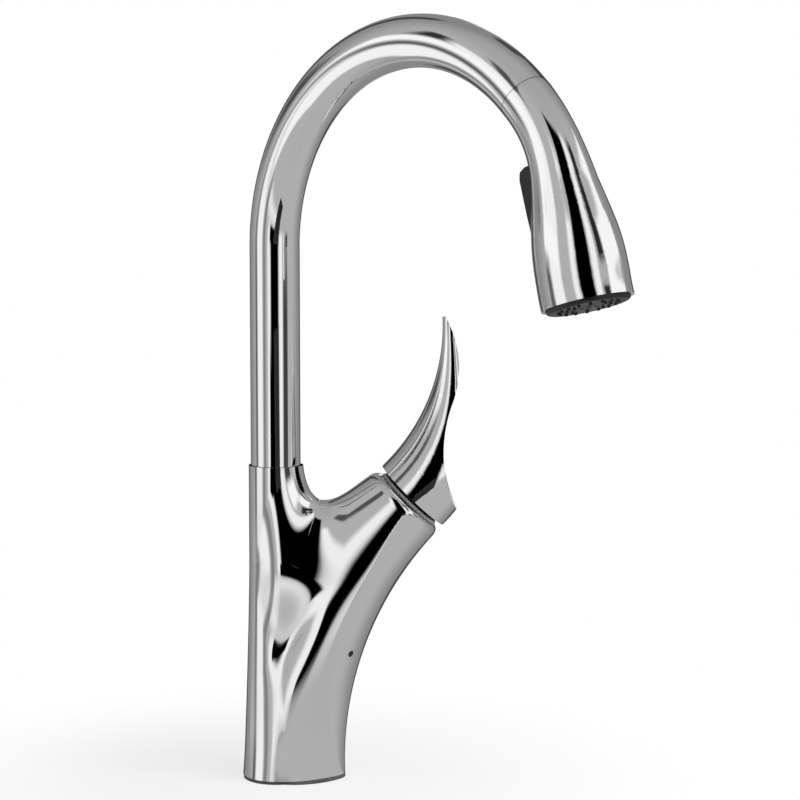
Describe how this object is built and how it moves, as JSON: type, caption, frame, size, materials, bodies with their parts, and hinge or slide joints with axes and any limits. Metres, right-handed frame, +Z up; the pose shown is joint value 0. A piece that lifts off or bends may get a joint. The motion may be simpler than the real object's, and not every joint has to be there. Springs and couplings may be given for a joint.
{
  "type": "pull-down kitchen faucet",
  "caption": "Single-lever kitchen faucet with a high arched swivel spout, a pull-down spray head on a hose and a ceramic-disc cartridge in an angled branch.",
  "frame": {"origin": "deck level on the vertical axis of the spout riser", "axes": "+Z up the riser, +X towards the handle side, so -Y is the user's side in the stored pose"},
  "size_m": [0.2054, 0.2052, 0.5021],
  "materials": {
    "polished_chrome": "mirror polished chrome plate over brass",
    "satin_chrome": "satin chrome plate",
    "black_seal": "moulded nitrile rubber",
    "black_trim": "black moulded plastic, slight gloss",
    "grey_nozzle": "soft silicone nozzles",
    "dark_face": "dark moulded plastic",
    "raw_brass": "turned brass",
    "white_acetal": "moulded acetal",
    "steel": "zinc plated or stainless steel",
    "stem_brass": "machined brass",
    "alumina": "lapped alumina ceramic",
    "braided_hose": "braided nylon sleeve over a flexible tube"
  },
  "bodies": {
    "body": {"body_casting": "polished_chrome", "passage_plug": "dark_face", "base_gasket": "black_seal", "threaded_shank": "raw_brass", "rubber_washer": "black_seal", "steel_washer": "steel", "mounting_nut": "steel", "clamp_screws": "steel", "keeper_screw": "satin_chrome", "cartridge_base": "white_acetal", "port_seals": "black_seal", "fixed_disc": "alumina", "cartridge_housing": "white_acetal", "retaining_nut": "raw_brass", "bonnet_ring": "black_trim"},
    "spout": {"spout_tube": "polished_chrome", "spout_hub": "raw_brass", "lower_glide_ring": "white_acetal", "upper_glide_ring": "white_acetal", "hub_o_rings": "black_seal", "seam_washer": "black_trim", "docking_collar": "satin_chrome", "pull_hose": "braided_hose", "hose_tail_fitting": "raw_brass"},
    "spray_head": {"spray_head_shell": "polished_chrome", "docking_neck": "white_acetal", "hose_nut": "raw_brass", "inlet_screen": "steel", "check_valve": "white_acetal", "valve_body": "white_acetal", "rocker_pin": "steel", "nozzle_pad": "grey_nozzle", "spray_face": "dark_face", "aerator": "dark_face"},
    "rocker": {"spray_rocker": "black_trim"},
    "spool": {"diverter_spool": "white_acetal", "spool_seals": "black_seal"},
    "carrier": {"cartridge_carrier": "white_acetal", "stem_pin": "steel"},
    "lever": {"lever_handle": "polished_chrome", "cartridge_stem": "stem_brass", "lever_grub_screw": "steel"},
    "moving_disc": {"moving_disc": "alumina"}
  },
  "joints": [
    {"name": "spout_swivel", "type": "hinge", "parent": "body", "child": "spout", "pos_m": [0, 0, 0], "axis": [0, 0, 1], "continuous": true},
    {"name": "head_pull", "type": "slide", "parent": "spout", "child": "spray_head", "axis": [0.5165, -0.5093, -0.6884], "range_m": [0, 0.25]},
    {"name": "rocker_tilt", "type": "hinge", "parent": "spray_head", "child": "rocker", "pos_m": [0.14309, -0.1411, 0.30726], "axis": [0.7022, 0.712, 0], "range_deg": [0, 6]},
    {"name": "spool_slide", "type": "slide", "parent": "spray_head", "child": "spool", "axis": [0.2004, -0.1977, -0.9596], "range_m": [0, 0.0008]},
    {"name": "handle_turn", "type": "hinge", "parent": "body", "child": "carrier", "pos_m": [0.0639, 0, 0.145], "axis": [0.6947, 0, 0.7193], "range_deg": [-45, 45]},
    {"name": "handle_lift", "type": "hinge", "parent": "carrier", "child": "lever", "pos_m": [0.0639, 0, 0.145], "axis": [0, 1, 0], "range_deg": [0, 25]},
    {"name": "disc_slide", "type": "slide", "parent": "carrier", "child": "moving_disc", "axis": [0.7193, 0, -0.6947], "range_m": [-0.0046, 0]}
  ],
  "couplings": [
    {"joint": "spool_slide", "follows": "rocker_tilt", "m_per_rad": 0.007},
    {"joint": "disc_slide", "follows": "handle_lift", "m_per_rad": -0.010313}
  ]
}
